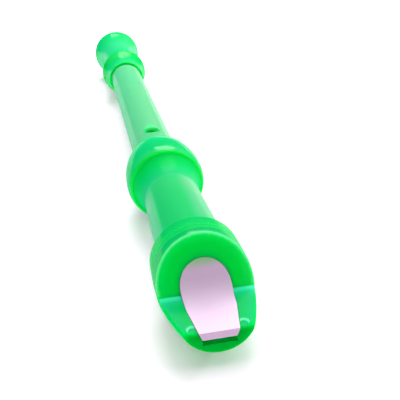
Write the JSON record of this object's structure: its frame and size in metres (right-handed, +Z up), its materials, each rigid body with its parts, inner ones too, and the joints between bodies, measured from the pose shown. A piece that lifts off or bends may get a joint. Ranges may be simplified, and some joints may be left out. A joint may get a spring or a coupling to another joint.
{
  "type": "descant recorder",
  "caption": "Descant recorder in translucent green plastic with a white windway block: a head that slides on its tenon to tune and a foot that turns for the little finger.",
  "frame": {"origin": "on the surface it lies on, below the middle of its length", "axes": "+Y from the beak towards the foot along the bore, +Z up, the thumb side, with the finger holes and window facing down"},
  "size_m": [0.0282, 0.327, 0.0282],
  "materials": {
    "green_plastic": "glossy moulded, translucent",
    "white_plastic": "satin moulded"
  },
  "bodies": {
    "middle": {"middle_joint": "green_plastic"},
    "head": {"head_joint": "green_plastic", "windway_block": "white_plastic"},
    "foot": {"foot_joint": "green_plastic"}
  },
  "joints": [
    {"name": "head_slide", "type": "slide", "parent": "middle", "child": "head", "axis": [0, -1, 0], "range_m": [0, 0.018]},
    {"name": "foot_turn", "type": "hinge", "parent": "middle", "child": "foot", "pos_m": [0, 0.0905, 0.01412], "axis": [0, 1, 0], "continuous": true}
  ]
}
